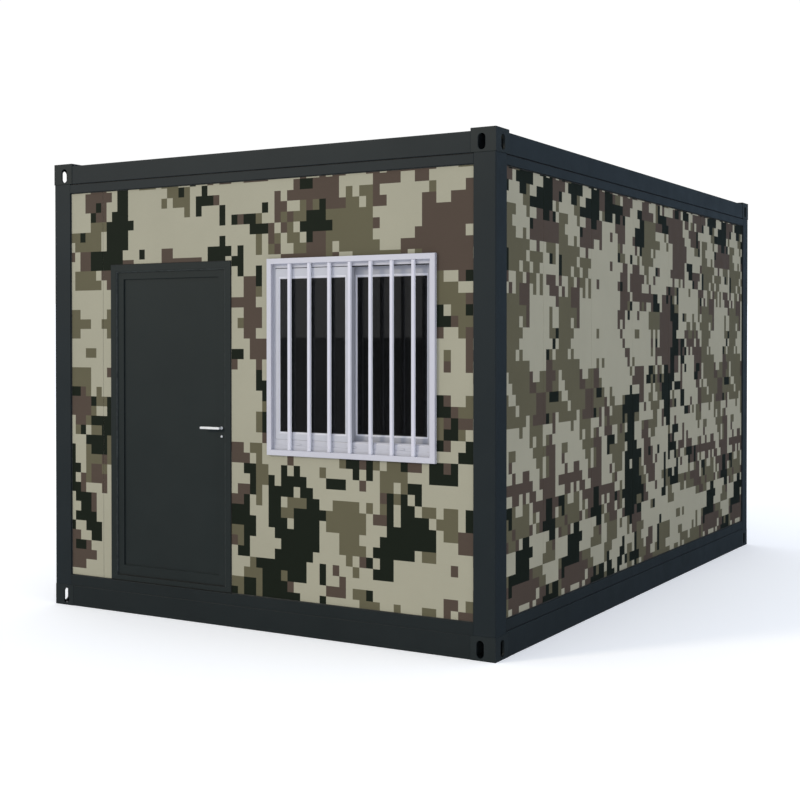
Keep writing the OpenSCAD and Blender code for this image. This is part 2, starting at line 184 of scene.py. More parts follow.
# =====================================================================================
# Materials: procedural, in object coordinates, which are row-frame metres here.
# =====================================================================================
class Nodes:
    """A short way to write a node tree."""

    def __init__(self, name):
        self.m = bpy.data.materials.new(name)
        self.m.use_nodes = True
        self.t = self.m.node_tree
        self.t.nodes.clear()
        self.out = self.t.nodes.new("ShaderNodeOutputMaterial")
        self.p = self.t.nodes.new("ShaderNodeBsdfPrincipled")
        self.t.links.new(self.p.outputs[0], self.out.inputs["Surface"])
        self.coord = self.t.nodes.new("ShaderNodeTexCoord").outputs["Object"]

    def node(self, kind, **values):
        n = self.t.nodes.new(kind)
        for k, v in values.items():
            setattr(n, k, v)
        return n

    def link(self, a, b):
        self.t.links.new(a, b)

    def scaled(self, sx, sy, sz):
        n = self.node("ShaderNodeMapping")
        n.inputs["Scale"].default_value = (sx, sy, sz)
        self.link(self.coord, n.inputs["Vector"])
        return n.outputs[0]

    def noise(self, scale, detail=3.0, rough=0.5, vector=None, distortion=0.0):
        n = self.node("ShaderNodeTexNoise")
        n.inputs["Scale"].default_value = scale
        n.inputs["Detail"].default_value = detail
        n.inputs["Roughness"].default_value = rough
        n.inputs["Distortion"].default_value = distortion
        self.link(vector or self.coord, n.inputs["Vector"])
        return n.outputs["Fac"]

    def ramp(self, fac, stops, ease="LINEAR"):
        n = self.node("ShaderNodeValToRGB")
        n.color_ramp.interpolation = ease
        e = n.color_ramp.elements
        while len(e) < len(stops):
            e.new(0.5)
        for el, (pos, col) in zip(e, stops):
            el.position = pos
            el.color = (*col, 1.0) if len(col) == 3 else col
        self.link(fac, n.inputs["Fac"])
        return n.outputs["Color"]

    def map(self, value, a, b, c, d):
        n = self.node("ShaderNodeMapRange")
        n.clamp = True
        for i, v in enumerate((a, b, c, d)):
            n.inputs[1 + i].default_value = v
        self.link(value, n.inputs[0])
        return n.outputs[0]

    def math(self, op, a, b=None):
        n = self.node("ShaderNodeMath", operation=op)
        for i, v in enumerate((a, b)):
            if v is None:
                continue
            if isinstance(v, (int, float)):
                n.inputs[i].default_value = v
            else:
                self.link(v, n.inputs[i])
        return n.outputs[0]

    def mix(self, fac, a, b, blend="MIX"):
        n = self.node("ShaderNodeMix", data_type="RGBA", blend_type=blend)
        for sock, v in ((n.inputs[0], fac), (n.inputs[6], a), (n.inputs[7], b)):
            if isinstance(v, (int, float)):
                sock.default_value = v
            elif isinstance(v, tuple):
                sock.default_value = (*v, 1.0)
            else:
                self.link(v, sock)
        return n.outputs[2]

    def bump(self, height, strength, distance, under=None):
        n = self.node("ShaderNodeBump")
        n.inputs["Strength"].default_value = strength
        n.inputs["Distance"].default_value = distance
        self.link(height, n.inputs["Height"])
        if under is not None:
            self.link(under, n.inputs["Normal"])
        return n.outputs[0]

    def put(self, colour=None, rough=None, normal=None, **sockets):
        if colour is not None:
            self.link(colour, self.p.inputs["Base Color"])
        if rough is not None:
            self.link(rough, self.p.inputs["Roughness"])
        if normal is not None:
            self.link(normal, self.p.inputs["Normal"])
        for k, v in sockets.items():
            self.p.inputs[k.replace("_", " ")].default_value = v
        return self.m


def scale_rgb(c, k):
    return tuple(min(1.0, v * k) for v in c)


def painted_steel(name, base, rough=(0.36, 0.44), spec=0.11, spread=0.07, peel=0.05, scale=1.0):
    """Sprayed coating on steel: slow tone drift, orange peel, faint dust speckle."""
    n = Nodes(name)
    drift = n.noise(1.3 * scale, 4.0, 0.55)
    colour = n.ramp(drift, [(0.30, scale_rgb(base, 1 - spread)), (0.70, scale_rgb(base, 1 + spread))])
    speck = n.noise(260.0, 2.0, 0.6)
    colour = n.mix(n.map(speck, 0.62, 0.80, 0.0, 0.10), colour, scale_rgb(base, 2.2))
    fog = n.noise(5.0, 3.0, 0.6)
    rgh = n.map(fog, 0.30, 0.70, rough[0], rough[1])
    orange = n.noise(170.0, 2.0, 0.45)
    wave = n.noise(9.0, 1.0, 0.4)
    normal = n.bump(orange, peel, 0.0006, n.bump(wave, 0.05, 0.002))
    return n.put(colour, rgh, normal, Specular_IOR_Level=spec)


def camo_coating(name, base, spec=0.04):
    """One colour of the patterned coil coating on the wall sheets, finely embossed."""
    n = Nodes(name)
    drift = n.noise(2.2, 4.0, 0.55)
    colour = n.ramp(drift, [(0.28, scale_rgb(base, 0.965)), (0.72, scale_rgb(base, 1.035))])
    grain = n.noise(420.0, 2.0, 0.6)
    colour = n.mix(n.map(grain, 0.35, 0.75, 0.0, 0.10), colour, scale_rgb(base, 0.80))
    rgh = n.map(n.noise(6.0, 3.0, 0.6), 0.3, 0.7, 0.46, 0.56)
    emboss = n.noise(330.0, 3.0, 0.55, n.scaled(1.0, 1.0, 0.45))
    oil = n.noise(3.2, 1.0, 0.4)
    normal = n.bump(emboss, 0.10, 0.0005, n.bump(oil, 0.06, 0.003))
    return n.put(colour, rgh, normal, Specular_IOR_Level=spec)


def smooth_plastic(name, base, rough=(0.30, 0.38), spec=0.4):
    """Extruded window plastic or powder-coated tube: even, with die lines and a little dust."""
    n = Nodes(name)
    drift = n.noise(3.0, 3.0, 0.5)
    colour = n.ramp(drift, [(0.3, scale_rgb(base, 0.975)), (0.7, scale_rgb(base, 1.02))])
    dust = n.noise(75.0, 3.0, 0.65)
    colour = n.mix(n.map(dust, 0.60, 0.78, 0.0, 0.12), colour, scale_rgb(base, 0.82))
    rgh = n.map(n.noise(12.0, 3.0, 0.6), 0.3, 0.7, rough[0], rough[1])
    lines = n.noise(300.0, 2.0, 0.5)
    normal = n.bump(lines, 0.04, 0.0004)
    return n.put(colour, rgh, normal, Specular_IOR_Level=spec)


def rubber(name, base=(0.012, 0.012, 0.013)):
    n = Nodes(name)
    colour = n.ramp(n.noise(40.0, 3.0, 0.6), [(0.35, scale_rgb(base, 0.8)), (0.7, scale_rgb(base, 1.5))])
    rgh = n.map(n.noise(25.0, 2.0, 0.5), 0.3, 0.7, 0.62, 0.78)
    return n.put(colour, rgh, n.bump(n.noise(350.0, 2.0, 0.5), 0.15, 0.0004), Specular_IOR_Level=0.25)


def galvanised(name, base=(0.46, 0.48, 0.50), spangle=38.0, metallic=0.85, spread=(0.80, 1.10), rough=(0.34, 0.55)):
    """Hot-dip galvanised sheet with its crystal spangle."""
    n = Nodes(name)
    v = n.node("ShaderNodeTexVoronoi", feature="F1")
    v.inputs["Scale"].default_value = spangle
    n.link(n.coord, v.inputs["Vector"])
    sep = n.node("ShaderNodeSeparateColor")
    n.link(v.outputs["Color"], sep.inputs[0])
    tone = n.ramp(sep.outputs[0], [(0.1, scale_rgb(base, spread[0])), (0.9, scale_rgb(base, spread[1]))])
    tone = n.mix(n.map(n.noise(4.0, 4.0, 0.6), 0.45, 0.75, 0.0, 0.35), tone, scale_rgb(base, 0.66))
    rgh = n.map(sep.outputs[1], 0.0, 1.0, rough[0], rough[1])
    return n.put(tone, rgh, n.bump(n.noise(120.0, 2.0, 0.5), 0.08, 0.0005), Metallic=metallic)


def polished_steel(name, base=(0.86, 0.86, 0.88), rough=(0.16, 0.24), metallic=1.0):
    n = Nodes(name)
    colour = n.ramp(n.noise(30.0, 2.0, 0.5), [(0.3, scale_rgb(base, 0.96)), (0.7, scale_rgb(base, 1.03))])
    brushed = n.noise(60.0, 3.0, 0.6, n.scaled(1.0, 14.0, 14.0))
    rgh = n.map(brushed, 0.3, 0.7, rough[0], rough[1])
    return n.put(colour, rgh, n.bump(brushed, 0.03, 0.0003), Metallic=metallic)


def planks(name):
    """Vinyl floor boards: grain along Y, each board its own tone from the mesh's 'tone' attribute."""
    n = Nodes(name)
    a = n.node("ShaderNodeAttribute", attribute_name="tone", attribute_type="GEOMETRY")
    shift = n.node("ShaderNodeCombineXYZ")
    n.link(n.math("MULTIPLY", a.outputs["Fac"], 7.0), shift.inputs[0])
    n.link(n.math("MULTIPLY", a.outputs["Fac"], 11.0), shift.inputs[1])
    add = n.node("ShaderNodeVectorMath", operation="ADD")
    n.link(n.scaled(9.0, 0.9, 9.0), add.inputs[0])
    n.link(shift.outputs[0], add.inputs[1])
    grain = n.noise(4.0, 6.0, 0.62, add.outputs[0], 1.1)
    fine = n.noise(90.0, 3.0, 0.6, n.scaled(3.0, 0.12, 3.0))
    wood = n.ramp(grain, [(0.30, (0.150, 0.098, 0.058)), (0.50, (0.250, 0.175, 0.110)), (0.72, (0.340, 0.250, 0.165))])
    wood = n.mix(n.map(fine, 0.35, 0.65, 0.0, 0.35), wood, (0.150, 0.100, 0.062))
    wood = n.mix(n.map(a.outputs["Fac"], 0.0, 1.0, 0.0, 0.30), wood, (0.210, 0.150, 0.098))
    rgh = n.map(fine, 0.3, 0.7, 0.34, 0.50)
    return n.put(wood, rgh, n.bump(fine, 0.10, 0.0004), Specular_IOR_Level=0.35)


def window_glass(name, tone=1.0):
    """Dark toned double glazing: clean, faintly wavy, a little of the room shows through. A tone below 1 darkens it as
    painted shade.
    """
    n = Nodes(name)
    film = n.noise(2.4, 3.0, 0.6)
    colour = n.ramp(film, [(0.3, (0.0085 * tone, 0.0090 * tone, 0.0098 * tone)), (0.7, (0.0115 * tone, 0.0118 * tone, 0.0125 * tone))])
    rgh = n.map(n.noise(7.0, 4.0, 0.6), 0.35, 0.75, 0.0, 0.004)
    return n.put(colour, rgh, n.bump(n.noise(1.2, 1.0, 0.4), 0.010, 0.002), Specular_IOR_Level=0.2, Alpha=0.86)


def foam(name):
    n = Nodes(name)
    cell = n.noise(240.0, 3.0, 0.6)
    colour = n.ramp(cell, [(0.35, (0.52, 0.50, 0.42)), (0.65, (0.68, 0.66, 0.58))])
    return n.put(colour, n.map(cell, 0.3, 0.7, 0.75, 0.9), n.bump(cell, 0.3, 0.001))


M = {
    "frame": painted_steel("coat_frame", (0.0130, 0.0180, 0.0212)),
    "casting": painted_steel("coat_casting", (0.0152, 0.0198, 0.0215), peel=0.09, scale=2.0),
    "base": painted_steel("coat_base", (0.0130, 0.0172, 0.0190)),
    "door": painted_steel("coat_door", (0.0146, 0.0195, 0.0205), rough=(0.38, 0.46)),
    "seal": rubber("seal_black"),
    # lighter than the door paint: painted light against the shade line by the casing
    "door_seal_lightened": rubber("seal_door_painted_light", (0.028, 0.034, 0.035)),
    "pile": rubber("seal_pile_grey", (0.090, 0.092, 0.100)),
    "sealant": rubber("sealant_grey", (0.030, 0.032, 0.032)),
    "tan": camo_coating("coil_tan", (0.288, 0.279, 0.218)),
    "olive": camo_coating("coil_olive", (0.094, 0.087, 0.055)),
    "brown": camo_coating("coil_brown", (0.0655, 0.0490, 0.0395)),
    "dark": camo_coating("coil_dark", (0.0084, 0.0118, 0.0080)),
    "foam": foam("panel_core"),
    "white_wall": smooth_plastic("coil_white", (0.70, 0.70, 0.68), rough=(0.42, 0.50), spec=0.3),
    "ceiling": smooth_plastic("coil_ceiling", (0.74, 0.74, 0.73), rough=(0.45, 0.55), spec=0.3),
    "upvc": smooth_plastic("window_white", (0.415, 0.420, 0.475), spec=0.25),
    "upvc_outer": smooth_plastic("window_white_outer", (0.410, 0.420, 0.475), spec=0.25),
    # a darker copy of the window white: painted shade for the sash set deep in the inner track
    "upvc_shaded": smooth_plastic("window_white_painted_shade", (0.325, 0.335, 0.385), spec=0.2),
    # a brighter copy of the window white: painted highlight on the glazing beads
    "upvc_bead_highlight": smooth_plastic("window_white_bead_lit", (0.560, 0.565, 0.625), spec=0.25),
    "guard": smooth_plastic("guard_white", (0.440, 0.443, 0.508), rough=(0.36, 0.44), spec=0.3),
    "guard_bar": smooth_plastic("guard_white_bar", (0.510, 0.512, 0.590), rough=(0.36, 0.44), spec=0.3),
    # a brighter copy of the bar white: painted highlight for the bars' faces towards +X
    "guard_lit_side": smooth_plastic("guard_white_painted_highlight", (0.800, 0.805, 0.880), rough=(0.30, 0.38), spec=0.4),
    "glass": window_glass("glass_toned"),
    "glass_shaded": window_glass("glass_toned_shaded", 0.65),
    "galv": galvanised("steel_galvanised"),
    "roof": galvanised("steel_roof", (0.30, 0.32, 0.34), 70.0, 0.25, (0.93, 1.04), (0.50, 0.62)),
    "hinge": polished_steel("steel_hinge", (0.42, 0.43, 0.45), (0.30, 0.42)),
    "handle": polished_steel("steel_handle", (0.77, 0.79, 0.83), (0.28, 0.36), 0.42),
    # near black: painted shadow in slots and along seal lines
    "shadow_black": rubber("slot_shadow", (0.006, 0.006, 0.006)),
    "planks": planks("floor_vinyl"),
}
CAMO = [M["tan"], M["olive"], M["brown"], M["dark"]]

# =====================================================================================
# Camera, light and the plain studio floor
# =====================================================================================
cam = bpy.data.objects.new("camera", bpy.data.cameras.new("camera"))
scene.collection.objects.link(cam)
scene.camera = cam
cam.data.sensor_width = 36.0
cam.data.lens = 59.94
cam.data.shift_x = 0.0
cam.data.shift_y = -0.0562
cam.data.clip_start, cam.data.clip_end = 0.1, 1000.0
cam.location = (4.7923, -8.8638, 1.7515)
cam.rotation_euler = (math.radians(90 - 0.702), 0.0, math.radians(30.332))

world = bpy.data.worlds.new("studio")
scene.world = world
world.use_nodes = True
wt = world.node_tree
wt.nodes.clear()
w_out = wt.nodes.new("ShaderNodeOutputWorld")
w_bg = wt.nodes.new("ShaderNodeBackground")
w_co = wt.nodes.new("ShaderNodeTexCoord")
w_sep = wt.nodes.new("ShaderNodeSeparateXYZ")
wt.links.new(w_co.outputs["Generated"], w_sep.inputs[0])


def world_step(z0, z1):
    n = wt.nodes.new("ShaderNodeMapRange")
    for i, v in enumerate((z0, z1, 0.0, 1.0)):
        n.inputs[1 + i].default_value = v
    wt.links.new(w_sep.outputs["Z"], n.inputs[0])
    return n.outputs[0]


def world_mix(fac, a, b):
    n = wt.nodes.new("ShaderNodeMix")
    n.data_type = "RGBA"
    wt.links.new(fac, n.inputs[0])
    for sock, v in ((n.inputs[6], a), (n.inputs[7], b)):
        if isinstance(v, tuple):
            sock.default_value = (*v, 1.0)
        else:
            wt.links.new(v, sock)
    return n.outputs[2]


sky = world_mix(world_step(0.20, 0.60), (1.0, 1.0, 1.0), (0.84, 0.90, 1.0))
sky = world_mix(world_step(0.0000, 0.0016), (0.045, 0.047, 0.050), sky)
wt.links.new(sky, w_bg.inputs["Color"])
w_bg.inputs["Strength"].default_value = 1.03
wt.links.new(w_bg.outputs[0], w_out.inputs["Surface"])

sun = bpy.data.objects.new("key", bpy.data.lights.new("key", "SUN"))
scene.collection.objects.link(sun)
sun.data.energy = 1.15
sun.data.angle = math.radians(11.0)
sun.data.color = (1.0, 0.88, 0.62)
key_from = Vector((-0.66, -0.84, 0.42))
sun.rotation_euler = key_from.to_track_quat("Z", "Y").to_euler()

bm = bmesh.new()
rings = [(0.0, 0.0), (6.0, 0.0), (20.0, 0.0), (60.0, 0.0), (90.0, 0.35), (130.0, 1.6), (180.0, 4.0), (240.0, 8.0)]
seg = 96
prev = None
for r, z in rings:
    if r == 0.0:
        prev = [bm.verts.new((0, 0, z))]
        continue
    loop = [bm.verts.new((r * math.cos(2 * math.pi * j / seg), r * math.sin(2 * math.pi * j / seg), z)) for j in range(seg)]
    for j in range(seg):
        if len(prev) == 1:
            bm.faces.new((prev[0], loop[j], loop[(j + 1) % seg]))
        else:
            bm.faces.new((prev[j], loop[j], loop[(j + 1) % seg], prev[(j + 1) % seg]))
    prev = loop
bmesh.ops.recalc_face_normals(bm, faces=bm.faces)
me = bpy.data.meshes.new("studio_floor")
bm.to_mesh(me)
bm.free()
n = Nodes("floor_pale")
pale = n.ramp(n.noise(0.6, 3.0, 0.5), [(0.3, (0.925, 0.925, 0.93)), (0.7, (0.932, 0.932, 0.937))])
me.materials.append(n.put(pale, n.map(n.noise(3.0, 2.0, 0.5), 0.3, 0.7, 0.75, 0.85), Specular_IOR_Level=0.0,
                          Emission_Color=(0.95, 0.96, 1.0, 1.0), Emission_Strength=0.23))
floor = bpy.data.objects.new("studio_floor", me)
scene.collection.objects.link(floor)
floor.visible_glossy = False

# grey card beside the studio: it stands only in the long wall's grazing reflections
bm = bmesh.new()
rows = []
for z in (-8.0, 0.5, 8.0, 24.0):
    rows.append([bm.verts.new((24.0 * math.cos(math.radians(a)), 24.0 * math.sin(math.radians(a)), z)) for a in range(14, 127, 4)])
for A, Bc in zip(rows, rows[1:]):
    for j in range(len(A) - 1):
        bm.faces.new((A[j], A[j + 1], Bc[j + 1], Bc[j]))
me = bpy.data.meshes.new("studio_card")
bm.to_mesh(me)
bm.free()
n = Nodes("card_grey")
felt = n.ramp(n.noise(3.0, 3.0, 0.6), [(0.3, (0.075, 0.105, 0.145)), (0.7, (0.095, 0.130, 0.175))])
n.link(felt, n.p.inputs["Emission Color"])
me.materials.append(n.put(felt, n.map(n.noise(9.0, 2.0, 0.5), 0.3, 0.7, 0.9, 1.0), Specular_IOR_Level=0.0, Emission_Strength=1.0))
card = bpy.data.objects.new("studio_card", me)
scene.collection.objects.link(card)
card.visible_camera = card.visible_diffuse = card.visible_transmission = card.visible_shadow = card.visible_volume_scatter = False

scene.view_settings.view_transform = "Standard"

# =====================================================================================
# Steel frame
# =====================================================================================
for node in ("corner_post_front_left", "corner_post_front_right", "corner_post_rear_left", "corner_post_rear_right"):
    bm = round_edges(cad_bmesh(node), 0.002, 2)
    piece(bm, node.replace("corner_post", "post") + "_painted", [M["frame"]], nodes=[node])


def on_outside(e, lo, hi):
    """True for an edge in an outer face of one of the castings."""
    def outer(v):
        x, y, z = v.co
        return [abs(x) > hi[0] - 5e-4, abs(y) > hi[1] - 5e-4, abs(z - lo[2]) < 5e-4 or abs(z - hi[2]) < 5e-4]
    a, b = outer(e.verts[0]), outer(e.verts[1])
    if any(p and q for p, q in zip(a, b)):
        return True
    inner = [all(abs(abs(v.co[k]) - edge) < 5e-4 for v in e.verts) for k, edge in ((0, hi[0] - 0.156), (1, hi[1] - 0.165))]
    return any(inner)


for node, out, mat, slot_name in (("top_corner_castings", "castings_top_painted", "casting", "casting_paint"),
                                  ("bottom_corner_castings", "castings_bottom_painted", "casting", "casting_paint")):
    lo, hi = box(node)
    bm = cad_bmesh(node)
    round_edges(bm, 0.0022, 3, 40.0, keep=lambda e: on_outside(e, lo, hi))
    piece(bm, out, [M[mat]], nodes=[node])

for node in ("roof_beam_front", "roof_beam_rear", "roof_beam_left", "roof_beam_right"):
    piece(round_edges(cad_bmesh(node), 0.003, 3), node + "_painted", [M["frame"]], nodes=[node])
for node in ("floor_beam_front", "floor_beam_rear", "floor_beam_left", "floor_beam_right"):
    piece(round_edges(cad_bmesh(node), 0.003, 3), node + "_painted", [M["base"]], nodes=[node])
piece(round_edges(cad_bmesh("wall_top_rails"), 0.002, 2), "wall_top_rails_painted", [M["frame"]], nodes=["wall_top_rails"])
piece(round_edges(cad_bmesh("end_sill_rails"), 0.002, 2), "end_sill_rails_painted", [M["base"]], nodes=["end_sill_rails"])
piece(round_edges(cad_bmesh("side_sill_rails"), 0.002, 2), "side_sill_rails_painted", [M["base"]], nodes=["side_sill_rails"])
piece(round_edges(cad_bmesh("frame_seals"), 0.0008, 1), "frame_seals_rubber", [M["seal"]], nodes=["frame_seals"])

# =====================================================================================
# Camouflage: a generic pattern of upright cells grown from seeded noise, with a few broad
# masses a wall that settle which colour leads where. Class 0 tan, 1 olive, 2 brown, 3 dark.
# =====================================================================================
CU, CZ = 0.731 / 16, 0.0625     # one cell: width, height
NZ = 42


def table(seed):
    return np.random.RandomState(seed).rand(97, 89)


def smooth_noise(i, k, su, sz, seed):
    """Value noise over cell numbers i, k with lumps su by sz cells."""
    t = table(seed)
    x, y = i / su + 31.7, k / sz + 17.3
    xi, yi = np.floor(x).astype(int), np.floor(y).astype(int)
    fx, fy = x - xi, y - yi
    fx, fy = fx * fx * (3 - 2 * fx), fy * fy * (3 - 2 * fy)
    g = lambda a, b: t[np.mod(a, 97), np.mod(b, 89)]
    return (g(xi, yi) * (1 - fx) * (1 - fy) + g(xi + 1, yi) * fx * (1 - fy)
            + g(xi, yi + 1) * (1 - fx) * fy + g(xi + 1, yi + 1) * fx * fy)


def speck(i, k, seed, wide=1, tall=1):
    """One random value for each block of wide by tall cells."""
    return table(seed)[np.mod(i // wide * 7 + k // tall * 3, 97), np.mod(k // tall * 5 + i // wide * 2, 89)]


SHARE = {3: 0.175, 2: 0.175, 1: 0.18}
SHARE_SIDE = {3: 0.145, 2: 0.215, 1: 0.235}
DRIFT = {3: -0.06, 2: 0.02, 1: -0.03}       # how a colour thins out or gathers towards the top
DRIFT_SIDE = {3: 0.01, 2: 0.03, 1: -0.08}


def pattern(cols, u_of, masses, seed, share=SHARE, strength=0.20, wrap=None, drift=DRIFT):
    """Classes of a wall: an array [column, row]. u_of gives a column's middle in metres along the wall.
    wrap turns a column number into the one whose noise it repeats."""
    i, k = np.meshgrid(np.arange(cols), np.arange(NZ), indexing="ij")
    src = wrap(i) if wrap else i
    u = u_of(i)
    z = (k + 0.5) * CZ + 0.19
    field = {}
    for c in (1, 2, 3):
        s = seed + 10 * c
        field[c] = (0.42 * smooth_noise(src, k, 4.0, 3.0, s) + 0.31 * smooth_noise(src + 0.6 * k, k, 2.1, 1.6, s + 1)
                    + 0.14 * speck(src, k, s + 2, 1, 2) + 0.13 * speck(src, k, s + 3)
                    + drift[c] * (z - 1.45) / 1.25)
    for (mu, mz, ru, rz, c) in masses:
        r2 = ((u - mu) / ru) ** 2 + ((z - mz) / rz) ** 2
        w = np.clip(1.45 - r2, 0.0, 1.0) * strength
        for other in (1, 2, 3):
            field[other] = field[other] + (w if other == c else -0.80 * w)
    out = np.zeros(i.shape, int)
    free = np.ones(i.shape, bool)
    for c in (3, 2, 1):
        cut = np.quantile(field[c][free], 1 - share[c] * i.size / free.sum())
        hit = free & (field[c] > cut)
        out[hit] = c
        free &= ~hit
    return out


T, O, B, D = 0, 1, 2, 3
FRONT_MASSES = [
    (-1.10, 2.35, .10, .15, D), (-1.40, 2.00, .15, .25, O), (-1.35, .55, .15, .10, D), (-1.35, .30, .15, .10, B),
    (-.75, 2.50, .20, .20, T), (-.35, 2.45, .15, .20, D), (-.05, 1.90, .10, .15, B), (-.05, 1.35, .10, .25, T),
    (.05, 2.60, .10, .10, D), (.30, .75, .20, .30, D), (.65, .60, .15, .20, O), (1.05, .65, .25, .10, D),
    (.70, 2.45, .15, .20, O), (1.05, 2.50, .15, .20, T), (1.30, 2.35, .15, .25, B), (1.15, .35, .30, .15, T),
]
SHEET = [(.15, 1.75, .15, .50, O), (.45, 1.80, .15, .30, T), (.25, .50, .20, .10, D), (.20, .30, .20, .10, B)]
MIDDLE = [
    (1.50, 1.95, .25, .50, T), (1.95, 2.15, .25, .15, B), (1.95, .85, .15, .30, D), (2.35, 2.50, .15, .20, O),
    (2.55, 2.25, .15, .25, T), (2.65, 1.80, .15, .25, B), (2.90, 2.40, .20, .20, B), (3.00, .45, .45, .25, T),
]
PERIOD = 0.731
side_masses = [(mu + s, *rest) for s in (0, PERIOD, 3.47, 3.47 + PERIOD) for (mu, *rest) in SHEET] + MIDDLE


def side_wrap(i):
    """The printed sheets repeat at both ends of the long wall."""
    far = 76
    return np.where(i < 32, np.mod(i, 16), np.where(i >= far, np.mod(i - far, 16), i))


FRONT_COLS = 66
front_u0 = -1.482 - 0.012
classes_front = pattern(FRONT_COLS, lambda i: front_u0 + (i + 0.5) * CU, FRONT_MASSES, 442)
SIDE_COLS = 101
classes_right = pattern(SIDE_COLS, lambda i: (i + 0.5) * CU, side_masses, 788, SHARE_SIDE, wrap=side_wrap, drift=DRIFT_SIDE)
classes_left = pattern(SIDE_COLS, lambda i: (i + 0.5) * CU, [(4.55 - mu, *rest) for (mu, *rest) in side_masses], 755, SHARE_SIDE, drift=DRIFT_SIDE)
classes_rear = pattern(FRONT_COLS, lambda i: front_u0 + (i + 0.5) * CU,
                       [(-mu, *rest) for (mu, *rest) in FRONT_MASSES] + [(.70, 1.50, .30, .35, T), (-.70, 1.40, .20, .30, O)], 1207)

WHITE, FOAM = 4, 5


def wall_panel(bm, u0, u1, z0, z1, c0, c1, thick, place, classes, origin):
    """One insulated panel: patterned outer sheet in cells, chamfered joints, white inner sheet."""
    def lines(a, b, first, step):
        k = math.ceil((a - first) / step + 1e-6)
        got = []
        while first + k * step < b - 1e-6:
            got.append(first + k * step)
            k += 1
        return [v for v in got if v - a > 0.0012 and b - v > 0.0012]
    us = [(u0, c0)] + ([(u0 + c0, 0.0)] if c0 else []) + [(v, 0.0) for v in lines(u0 + c0, u1 - c1, origin, CU)]
    us += ([(u1 - c1, 0.0)] if c1 else []) + [(u1, c1)]
    zs = [z0] + lines(z0, z1, 0.19, CZ) + [z1]
    g = [[bm.verts.new(place(u, v, z)) for z in zs] for u, v in us]
    for a in range(len(us) - 1):
        uc = (us[a][0] + us[a + 1][0]) / 2
        i = min(max(int(math.floor((uc - origin) / CU)), 0), classes.shape[0] - 1)
        for b in range(len(zs) - 1):
            k = min(max(int(math.floor(((zs[b] + zs[b + 1]) / 2 - 0.19) / CZ)), 0), NZ - 1)
            f = bm.faces.new((g[a][b], g[a + 1][b], g[a + 1][b + 1], g[a][b + 1]))
            f.material_index = int(classes[i, k])
    back = []
    for u, s, c in ((u1, -1, c1), (u0, 1, c0)):
        pts = [(u, thick - c), (u + s * c, thick)] if c else [(u, thick)]
        if s == 1:
            pts.reverse()
        back += pts
    lowb = [bm.verts.new(place(u, v, z0)) for u, v in back]
    topb = [bm.verts.new(place(u, v, z1)) for u, v in back]
    bm.faces.new([col[0] for col in g] + lowb).material_index = FOAM
    bm.faces.new([col[-1] for col in g] + topb).material_index = FOAM
    bm.faces.new([v for v in g[-1]] + [topb[0], lowb[0]]).material_index = FOAM
    bm.faces.new([v for v in g[0]] + [topb[-1], lowb[-1]]).material_index = FOAM
    for a in range(len(back) - 1):
        bm.faces.new((lowb[a], lowb[a + 1], topb[a + 1], topb[a])).material_index = WHITE


WALL_MATS = CAMO + [M["white_wall"], M["foam"]]
JOINT = 0.0022
wl, wh = box("front_wall_left")
y_front, thick = wl[1], wh[1] - wl[1]
z_end0, z_end1 = wl[2], wh[2]
place_front = lambda u, v, z: (u, y_front + v, z)
seam = -1.205
dl, dh = box("front_wall_over_door")
ml, mh = box("front_wall_middle")
ul, uh = box("front_wall_under_window")
ol, oh = box("front_wall_over_window")
rl, rh = box("front_wall_right")
bm = bmesh.new()
wall_panel(bm, wl[0], seam - 0.00015, z_end0, z_end1, 0, JOINT, thick, place_front, classes_front, front_u0)
wall_panel(bm, seam + 0.00015, wh[0], z_end0, z_end1, JOINT, 0, thick, place_front, classes_front, front_u0)
piece(bm, "front_panels_left", WALL_MATS, nodes=["front_wall_left"], smooth=False)
for node, lo, hi, out in (("front_wall_over_door", dl, dh, "front_panel_over_door"), ("front_wall_middle", ml, mh, "front_panel_middle"),
                          ("front_wall_under_window", ul, uh, "front_panel_under_window"),
                          ("front_wall_over_window", ol, oh, "front_panel_over_window"), ("front_wall_right", rl, rh, "front_panel_right")):
    bm = bmesh.new()
    wall_panel(bm, lo[0], hi[0], lo[2], hi[2], 0, 0, thick, place_front, classes_front, front_u0)
    piece(bm, out, WALL_MATS, nodes=[node], smooth=False)

sl, sh = box("right_wall_panels")
run = sh[1] - sl[1]
joints = [0.0] + [0.512 + PERIOD * j for j in range(6)] + [run]


def side_wall(name, node, place, classes):
    bm = bmesh.new()
    for a, b in zip(joints, joints[1:]):
        first, last = a == 0.0, b == run
        wall_panel(bm, a + (0 if first else 0.00015), b - (0 if last else 0.00015), sl[2], sh[2],
                   0 if first else JOINT, 0 if last else JOINT, thick, place, classes, 0.0)
    piece(bm, name, WALL_MATS, nodes=[node], smooth=False)


side_wall("right_panels", "right_wall_panels", lambda u, v, z: (sh[0] - v, sl[1] + u, z), classes_right)
side_wall("left_panels", "left_wall_panels", lambda u, v, z: (-sh[0] + v, sl[1] + u, z), classes_left)

kl, kh = box("rear_wall_panels")
bm = bmesh.new()
w = (kh[0] - kl[0]) / 4
for j in range(4):
    wall_panel(bm, kl[0] + j * w + (0.00015 if j else 0), kl[0] + (j + 1) * w - (0.00015 if j < 3 else 0), kl[2], kh[2],
               JOINT if j else 0, JOINT if j < 3 else 0, thick, lambda u, v, z: (u, kh[1] - v, z), classes_rear, front_u0)
piece(bm, "rear_panels", WALL_MATS, nodes=["rear_wall_panels"], smooth=False)

# sealant bead where each wall meets its posts and rails
bm = bmesh.new()
b_w, b_d = 0.0045, 0.0022


def bead(lo, hi):
    add_box(bm, lo, hi, 0.0009, 2)


